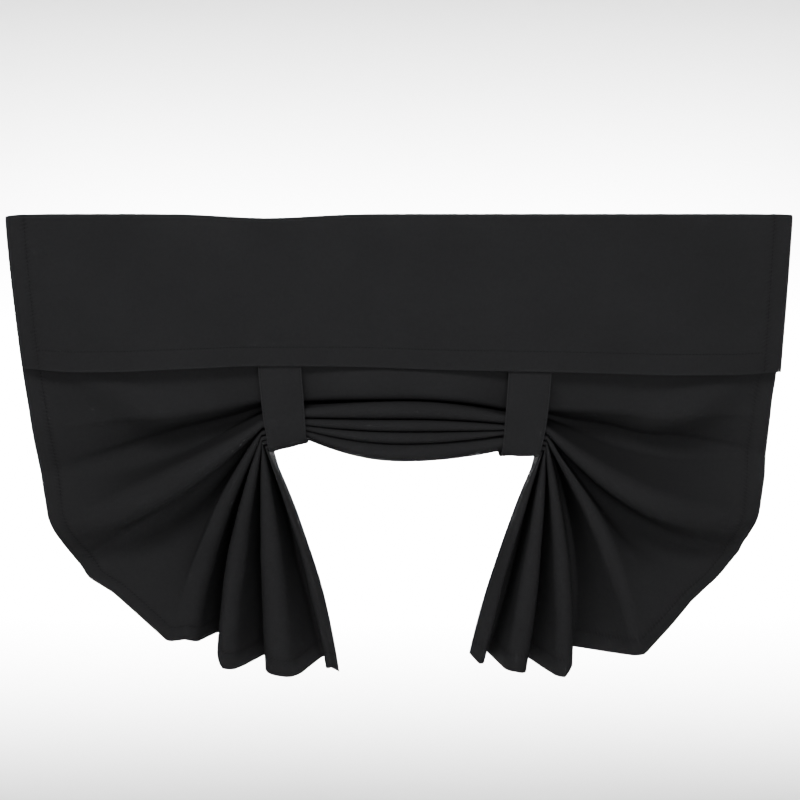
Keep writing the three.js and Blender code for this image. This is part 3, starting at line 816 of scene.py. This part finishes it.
def blackout_cloth(name, colour):
    """Woven polyester blackout cloth, piece dyed black: a dense, close, matte weave. It looks soft
    and deep and has no shine, with a faint even tooth and slightly rubbed, paler edges. Its slubs
    are about 5 mm across. Beside a seam the cloth is drawn up in small slanting puckers 5.6 mm apart,
    which come and go every 40 mm or so; they are as strong as the sheet's own seam value says. A
    painted shade darkens the colour along the puckers by up to 22 percent, as strong as they are."""
    material = bpy.data.materials.new(name)
    tree = empty_tree(material)
    where = node(tree, "ShaderNodeTexCoord", out="UV")
    seam = node(tree, "ShaderNodeAttribute", {}, {"attribute_name": "seam"}, "Fac")
    rubbed = node(tree, "ShaderNodeAttribute", {}, {"attribute_name": "wear"}, "Fac")
    bands, noises, tones = {}, {}, {}
    for key, (apart_mm, turn, uneven) in CLOTH_BANDS.items():
        turned = node(
            tree, "ShaderNodeMapping",
            {"Vector": where, "Rotation": (0, 0, math.radians(turn))})
        bands[key] = node(
            tree, "ShaderNodeTexWave",
            {"Vector": turned, "Scale": WAVE_BAND / (apart_mm * MM), "Distortion": uneven},
            {"wave_type": "BANDS", "bands_direction": "X", "wave_profile": "SIN"}, "Fac")
    for key, (across_mm, detail, low, high) in CLOTH_NOISES.items():
        noises[key] = node(
            tree, "ShaderNodeTexNoise",
            {"Vector": where, "Scale": 1 / (across_mm * MM), "Detail": detail}, out="Fac")
        tones[key] = node(
            tree, "ShaderNodeMapRange",
            {"Value": noises[key], "From Min": 0.3, "From Max": 0.7, "To Min": low, "To Max": high})
    times = {"operation": "MULTIPLY"}
    weave = node(tree, "ShaderNodeMath", {0: bands["warp"], 1: bands["weft"]}, times)
    relief = node(
        tree, "ShaderNodeMath",
        {0: noises["slub"], 1: 0.8, 2: weave}, {"operation": "MULTIPLY_ADD"})
    tooth = node(tree, "ShaderNodeBump", {"Height": relief, "Strength": 0.35, "Distance": 0.00012})
    drawn_up = node(tree, "ShaderNodeMath", {0: bands["pucker"], 1: seam}, times)
    pucker = node(tree, "ShaderNodeMath", {0: drawn_up, 1: tones["fade"]}, times)
    bump = node(
        tree, "ShaderNodeBump",
        {"Height": pucker, "Strength": 0.6, "Distance": 0.0005, "Normal": tooth})
    # Painted shade: the cloth's colour is darkened by up to 22 percent along the seam puckers
    pucker_painted_shade = node(tree, "ShaderNodeMapRange", {"Value": pucker, "To Min": 1.0, "To Max": 0.78})
    mottle = node(tree, "ShaderNodeMath", {0: tones["cloud"], 1: tones["slub"]}, times)
    tone = node(tree, "ShaderNodeMath", {0: mottle, 1: pucker_painted_shade}, times)
    plain = node(tree, "ShaderNodeVectorMath", {0: colour[:3], "Scale": tone}, {"operation": "SCALE"})
    paler = [min(1.0, c * 1.5) for c in colour[:3]]
    base = node(
        tree, "ShaderNodeMix",
        {"Factor": rubbed, 6: plain, 7: (*paler, 1.0)}, {"data_type": "RGBA"}, 2)
    rough = node(tree, "ShaderNodeMapRange", {"Value": noises["slub"], "To Min": 0.80, "To Max": 0.92})
    shader = node(
        tree, "ShaderNodeBsdfPrincipled",
        {"Base Color": base, "Roughness": rough, "Normal": bump, "IOR": 1.4, "Specular IOR Level": 0.01})
    node(tree, "ShaderNodeOutputMaterial", {"Surface": shader})
    return material


def sewing_thread(name, colour):
    """Spun polyester sewing thread, dyed black: dull, and a little darker than the cloth, so a row
    of stitches reads as fine dark dashes. Its twist is 0.6 mm long."""
    material = bpy.data.materials.new(name)
    tree = empty_tree(material)
    where = node(tree, "ShaderNodeTexCoord", out="Object")
    twist_mm = 0.6
    twist = node(
        tree, "ShaderNodeTexNoise",
        {"Vector": where, "Scale": 1 / (twist_mm * MM), "Detail": 1.0}, out="Fac")
    tone = node(tree, "ShaderNodeMapRange", {"Value": twist, "To Min": 0.85, "To Max": 1.15})
    base = node(tree, "ShaderNodeVectorMath", {0: colour[:3], "Scale": tone}, {"operation": "SCALE"})
    bump = node(tree, "ShaderNodeBump", {"Height": twist, "Strength": 0.3, "Distance": 0.0001})
    shader = node(
        tree, "ShaderNodeBsdfPrincipled",
        {"Base Color": base, "Roughness": 0.7, "Normal": bump, "IOR": 1.4, "Specular IOR Level": 0.1})
    node(tree, "ShaderNodeOutputMaterial", {"Surface": shader})
    return material


def studio_paper(name, colour):
    """Matte white studio paper: pale, even and without gloss, with a faint mottle 0.7 m across."""
    material = bpy.data.materials.new(name)
    tree = empty_tree(material)
    where = node(tree, "ShaderNodeTexCoord", out="Object")
    mottle = node(
        tree, "ShaderNodeTexNoise",
        {"Vector": where, "Scale": 1.5, "Detail": 2.0}, out="Fac")
    tone = node(tree, "ShaderNodeMapRange", {"Value": mottle, "To Min": 0.985, "To Max": 1.0})
    base = node(tree, "ShaderNodeVectorMath", {0: colour[:3], "Scale": tone}, {"operation": "SCALE"})
    shader = node(
        tree, "ShaderNodeBsdfPrincipled",
        {"Base Color": base, "Roughness": 0.95, "Specular IOR Level": 0.1})
    node(tree, "ShaderNodeOutputMaterial", {"Surface": shader})
    return material


def material_named(name, maker, colour):
    """The material of that name, made once."""
    return bpy.data.materials.get(name) or maker(name, tuple(colour))


def cloth_and_thread(finish):
    """The curtain's two materials."""
    return (material_named("black_blackout_cloth", blackout_cloth, finish.cloth_colour),
            material_named("black_sewing_thread", sewing_thread, finish.thread_colour))


def hem_form(sizes, off_side, down, off_low):
    """Thickness of the panel's cloth at each point's distances from the side edge, from the flap's
    lower edge and from the lower hem. A hem is thicker from its edge to just past its seam, a seam
    is a bell-shaped groove, and an edge thins out in a straight line. Also the nearest edge's
    distance."""
    side_hem, flap_hem = sizes.side_hem / MM, sizes.flap_hem / MM
    hemmed, groove = np.zeros(down.shape), np.zeros(down.shape)
    for off, seam_at in ((off_side, side_hem), (down, flap_hem), (off_low, side_hem)):
        folded = np.clip((seam_at + HEM["past_seam"] - off) / HEM["step"] + 0.5, 0, 1)
        hemmed = np.maximum(hemmed, folded)
        groove = np.maximum(groove, np.exp(-(((off - seam_at) / HEM["groove_half"]) ** 2)))
    nearest = np.minimum(np.minimum(off_side, down), off_low)
    thick = sizes.cloth / MM + sizes.hem_extra / MM * hemmed - HEM["groove_deep"] * groove
    thin = np.clip(HEM["edge_least"] + nearest / HEM["edge_round"], HEM["edge_least"], 1.0)
    return thick * thin, nearest


class CURTAIN_OT_panel(Operator):
    """Makes the panel's cloth with its flap, pleats, fans, hems and stitching"""

    bl_idname = "curtain.panel"
    bl_label = "Curtain cloth"

    def execute(self, context):
        sizes = context.scene.curtain_sizes
        material, thread = cloth_and_thread(context.scene.curtain_finish)
        side_hem, flap_hem, pitch = sizes.side_hem / MM, sizes.flap_hem / MM, sizes.stitch_pitch / MM
        ray = LINES["left_out"][0] - LINES["left_rim"][0]
        grid, zone, spread, q, flap_rows = cloth_middle(side_hem / ray)
        across = (grid[:, flap_rows, 0] - grid[0, flap_rows, 0])[:, None]
        down = lengths_down(grid)
        heights = crease_heights(grid, zone, spread, q) + ripple_heights(zone, spread, q, across, down)
        grid = grid + normals_of(grid) * heights[..., None]
        off_side = np.minimum(across, across[-1] - across)
        off_low = down[:, -1:] - down
        thick, nearest = hem_form(sizes, off_side, down, off_low)
        # The seam value sets the side seams' puckers and a painted shade that darkens the cloth along
        # them
        seam = np.exp(-(((off_side - side_hem) / HEM["pucker_half"]) ** 2))
        panel = cloth_piece("curtain_cloth", grid, thick, across, down, nearest, seam, material)
        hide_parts("panel")

        left = int(np.argmin(np.abs(across - side_hem)))
        right = int(np.argmin(np.abs(across[-1] - across - side_hem)))
        flap_row = int(np.argmin(np.abs(down[0] - flap_hem)))
        low_row = int(np.argmin(np.abs(off_low[0] - side_hem)))
        lines = [
            np.s_[left, :],
            np.s_[right, :],
            np.s_[left:right, flap_row],
            np.s_[left:right, low_row],
        ]
        seams = stitching_piece("hem_stitching", grid, thick, lines, pitch, HEM_STITCH, thread)
        wear_on_body(panel, seams)
        return {"FINISHED"}


def band_middle(side, across, along):
    """Middle of a band's thickness: its path in depth and height, carried across its width, while
    its middle line leans as it hangs and it narrows towards the gathered cloth."""
    cols = (1, 2, 5) if side == "left" else (3, 4, 6)
    q = np.linspace(0, len(BAND_PATH) - 1, (len(BAND_PATH) - 1) * along + 1)
    y, width = smooth_line(BAND_PATH[:, 0], q), smooth_line(BAND_PATH[:, 7], q)[None]
    start, stop, middle = (smooth_line(BAND_PATH[:, k], q)[None] for k in cols)
    share = across[:, None]
    z = mix(start, stop, share)
    x = middle + (share - 0.5) * width
    return np.stack([x, np.broadcast_to(y, x.shape) + TURN, z], axis=-1)


class CURTAIN_OT_bands(Operator):
    """Makes the sewn bands that hold the gathered cloth"""

    bl_idname = "curtain.bands"
    bl_label = "Tie bands"

    def execute(self, context):
        sizes = context.scene.curtain_sizes
        material, thread = cloth_and_thread(context.scene.curtain_finish)
        middle = np.linspace(0.2, 0.8, BAND["middle_columns"])
        across = np.concatenate([NEAR_BAND_EDGE, middle, 1 - NEAR_BAND_EDGE[::-1]])
        from_left, from_right = across * BAND_FLAT, (1 - across) * BAND_FLAT
        width = from_left[:, None]
        inset = np.minimum(from_left, from_right)[:, None]
        lines = [np.s_[int(np.argmin(np.abs(off - BAND["seam"]))), :] for off in (from_left, from_right)]
        groove = np.exp(-(((inset - BAND["seam"]) / BAND["groove_half"]) ** 2))
        thin = np.clip(BAND["edge_least"] + inset / BAND["edge_round"], BAND["edge_least"], 1.0)
        thick = sizes.band_cloth / MM * (1 - BAND["groove_share"] * groove) * thin
        for side, seed in (("left", 5), ("right", 9)):
            grid = band_middle(side, across, BAND["rows"])
            down = lengths_down(grid)
            turned = np.exp(-(((down - down[:, -1:] * BAND["turn_at"]) / BAND["turn_half"]) ** 2))
            heights = turned * ripple(width * BAND["stretch"], down, seed, BAND_RIPPLE)
            grid = grid + normals_of(grid) * heights[..., None]
            thickness = np.broadcast_to(thick, down.shape)
            # The seam value sets the puckers along the band's seams and the painted shade that darkens
            # them
            band = cloth_piece("band_cloth_" + side, grid, thickness, width, down, inset,
                               BAND["pucker"] * groove, material)
            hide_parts("band_" + side)
            seams = stitching_piece("band_stitching_" + side, grid, thickness, lines,
                                    sizes.stitch_pitch / MM, BAND_STITCH, thread)
            wear_on_body(band, seams)
        return {"FINISHED"}


def aim(obj, target):
    """Turns a camera or light so that its -Z axis points at the target."""
    way = np.array(target, float) - np.array(obj.location, float)
    way /= np.linalg.norm(way)
    pitch = math.asin(way[2])
    yaw = math.atan2(-way[0], way[1])
    obj.rotation_euler = (math.pi / 2 + pitch, 0, yaw)


# The studio's area lights: place, target, width, height, watts and spread in degrees
LIGHTS = {
    "key": ((-0.8, -2.1, 2.2), (0.0, 0.0, -0.35), 2.4, 0.8, 74.0, 180.0),
    "fill": ((0.3, -3.1, 0.2), (0.0, 0.0, -0.4), 1.6, 1.2, 43.0, 180.0),
    "backdrop_wash": ((0.0, 1.5, 2.6), (0.0, 2.7, -1.25), 5.0, 0.8, 1250.0, 66.0),
}
WORLD_LIGHT = 0.17
# The camera stands 2 m away and looks down by 12 degrees at a point 285 mm below the top edge.
# Its lens gives 1299 pixels of focal length in the 800-pixel frame.
SENSOR = 36.0
CAMERA = {
    "distance": 2.0,
    "down": math.radians(12.0),
    "target": (0.002, 0.005, -0.285),
    "lens": 1299.0 / 800.0 * SENSOR,
}
# Floor that turns up into the backdrop in a quarter circle of radius rise, in metres
FLOOR = {"low": -1.25, "front": -3.5, "back": 2.2, "rise": 1.6, "top": 3.2, "half": 5.0, "steps": 17}


class CURTAIN_OT_stage(Operator):
    """Makes the floor with its curved backdrop, the soft lights and the camera"""

    bl_idname = "curtain.stage"
    bl_label = "Studio"

    def execute(self, context):
        scene = context.scene
        a = np.linspace(0, np.pi / 2, FLOOR["steps"])
        bend_y = FLOOR["back"] + FLOOR["rise"] * np.sin(a)
        bend_z = FLOOR["low"] + FLOOR["rise"] * (1 - np.cos(a))
        x = np.array([[-FLOOR["half"]], [FLOOR["half"]]])
        y = np.concatenate([[FLOOR["front"]], bend_y, bend_y[-1:]])
        z = np.concatenate([[FLOOR["low"]], bend_z, [FLOOR["top"]]])
        grid = np.stack(np.broadcast_arrays(x, y, z), axis=-1) / MM
        faces = grid_quads(np.arange(2 * len(y)).reshape(2, -1))
        paper = material_named("white_studio_paper", studio_paper, scene.curtain_finish.backdrop)
        floor = new_piece("studio_floor", grid.reshape(-1, 3), faces, paper)

        scene.world = scene.world or bpy.data.worlds.new("studio")
        tree = empty_tree(scene.world)
        sky = node(
            tree, "ShaderNodeBackground",
            {"Color": (1.0, 1.0, 1.0, 1.0), "Strength": WORLD_LIGHT})
        node(tree, "ShaderNodeOutputWorld", {"Surface": sky})
        for name, (place, target, wide, high, watts, spread) in LIGHTS.items():
            light = bpy.data.lights.new(name, "AREA")
            light.shape = "RECTANGLE"
            light.size = wide
            light.size_y = high
            light.energy = watts
            light.spread = math.radians(spread)
            lamp = bpy.data.objects.new(name, light)
            lamp.location = place
            aim(lamp, target)
            scene.collection.objects.link(lamp)

        lens = bpy.data.cameras.new("camera")
        lens.lens = CAMERA["lens"]
        lens.sensor_width = SENSOR
        camera = bpy.data.objects.new("camera", lens)
        x, y, z = CAMERA["target"]
        camera.location = (x, y - CAMERA["distance"] * math.cos(CAMERA["down"]),
                           z + CAMERA["distance"] * math.sin(CAMERA["down"]))
        camera.rotation_euler = (math.pi / 2 - CAMERA["down"], 0, 0)
        scene.collection.objects.link(camera)
        scene.camera = camera
        return {"FINISHED"}


class CURTAIN_PT_sidebar(Panel):
    """Lists the sizes, the colours and the operators in the sidebar"""

    bl_idname = "CURTAIN_PT_sidebar"
    bl_label = "Curtain"
    bl_space_type = "VIEW_3D"
    bl_region_type = "UI"
    bl_category = "Curtain"

    def draw(self, context):
        layout = self.layout
        for group in (context.scene.curtain_sizes, context.scene.curtain_finish):
            for key in group.__annotations__:
                layout.prop(group, key)
        for operator in (CURTAIN_OT_bands, CURTAIN_OT_panel, CURTAIN_OT_stage):
            layout.operator(operator.bl_idname)


CLASSES = (
    CurtainSizes,
    CurtainFinish,
    CURTAIN_OT_panel,
    CURTAIN_OT_bands,
    CURTAIN_OT_stage,
    CURTAIN_PT_sidebar,
)


def register():
    """Adds the classes and their two groups of values to Blender."""
    for cls in CLASSES:
        bpy.utils.register_class(cls)
    bpy.types.Scene.curtain_sizes = PointerProperty(type=CurtainSizes)
    bpy.types.Scene.curtain_finish = PointerProperty(type=CurtainFinish)


def unregister():
    """Takes them out again."""
    del bpy.types.Scene.curtain_finish
    del bpy.types.Scene.curtain_sizes
    for cls in reversed(CLASSES):
        bpy.utils.unregister_class(cls)


def main():
    register()
    bpy.ops.curtain.stage()
    bpy.ops.curtain.bands()
    bpy.ops.curtain.panel()


if __name__ == "__main__":
    main()
